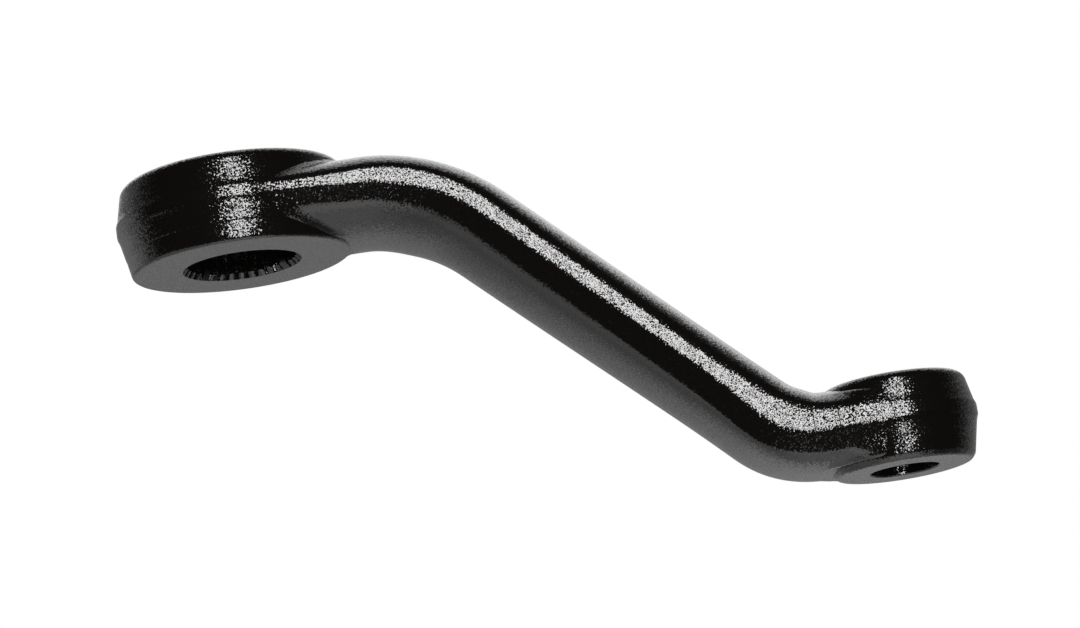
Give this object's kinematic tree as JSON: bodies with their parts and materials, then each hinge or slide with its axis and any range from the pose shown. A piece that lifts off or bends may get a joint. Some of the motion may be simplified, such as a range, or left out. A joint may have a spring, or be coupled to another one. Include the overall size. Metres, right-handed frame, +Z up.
{
  "type": "pitman arm",
  "caption": "Forged drop pitman arm in black paint: serrated taper bore for the steering sector shaft, S-bend down to a plain taper bore for the drag link's ball stud",
  "frame": {"origin": "on the sector bore's axis, in the sector boss's parting plane", "axes": "+Z up along both bore axes, as the arm hangs on the steering gear; +X from the sector bore towards the link bore, which lies lower"},
  "size_m": [0.2012, 0.059, 0.0976],
  "materials": {
    "black_paint": "semi-gloss"
  },
  "bodies": {
    "root": {"pitman_arm": "black_paint"}
  },
  "joints": []
}
